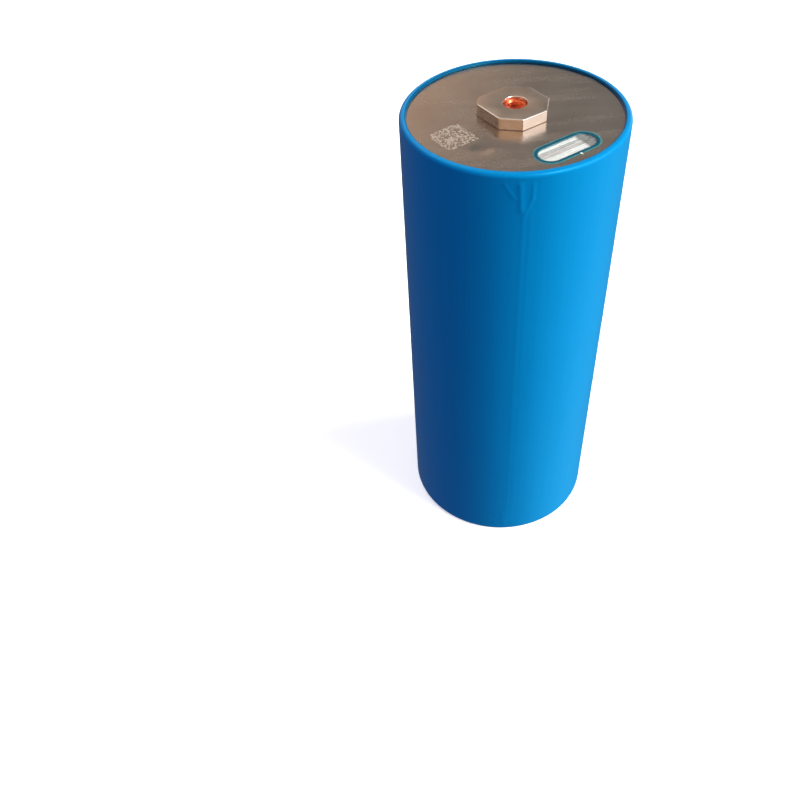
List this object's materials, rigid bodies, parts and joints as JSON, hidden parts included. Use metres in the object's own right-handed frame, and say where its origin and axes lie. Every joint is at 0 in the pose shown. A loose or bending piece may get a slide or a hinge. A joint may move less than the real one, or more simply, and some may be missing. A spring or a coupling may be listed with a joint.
{
  "type": "cylindrical battery cell",
  "caption": "Large round lithium cell in a blue shrink sleeve, with an eight-sided terminal block, a fill port and an oblong vent in its recessed metal top.",
  "frame": {"origin": "centre of the circle on which the sleeve's lower rim stands", "axes": "+Z along the cell's axis, from the base to the terminal block; +X and +Y across it, with the top vent towards +X and -Y"},
  "size_m": [0.066, 0.066, 0.16],
  "materials": {
    "sleeve": "satin-glossy blue heat-shrink PVC with fine shrink puckers",
    "cover": "warm grey satin rolled metal, faint handling stains",
    "block": "milled, with bright bevelled edges",
    "copper": "bare pressed copper, orange-red",
    "aluminium": "plain rolled",
    "foil": "bright streaky foil",
    "vent_seal": "teal-blue glossy sealing frame",
    "vent_film": "clear thin film",
    "dark_plastic": "dark slate insulating sheet, matte",
    "pale_plastic": "moulded, matte",
    "rubber": "moulded sealing rubber",
    "separator": "microporous film",
    "cathode": "coated foil, dark grey",
    "anode": "coated foil, graphite black",
    "wrap": "thin adhesive film"
  },
  "bodies": {
    "root": {"shrink_sleeve": "sleeve", "can_tube": "aluminium", "top_cover": "cover", "base_cover": "cover", "top_vent_diaphragm": "foil", "top_vent_seal": "vent_seal", "top_vent_film": "vent_film", "base_vent_diaphragm": "foil", "base_vent_seal": "vent_seal", "base_vent_film": "vent_film", "fill_port_cap": "cover", "fill_port_plug": "rubber", "terminal_block": "block", "outer_terminal_insulator": "dark_plastic", "negative_post": "copper", "post_seal_ring": "rubber", "inner_terminal_insulator": "pale_plastic", "base_insulator": "dark_plastic", "cathode_sheet": "cathode", "separator_inner": "separator", "anode_sheet": "anode", "separator_outer": "separator", "winding_core": "pale_plastic", "roll_wrap": "wrap", "negative_collector": "copper", "positive_collector": "aluminium", "negative_tab": "copper", "positive_tab": "aluminium", "upper_spacer_ring": "pale_plastic", "lower_spacer_ring": "pale_plastic"}
  },
  "joints": []
}
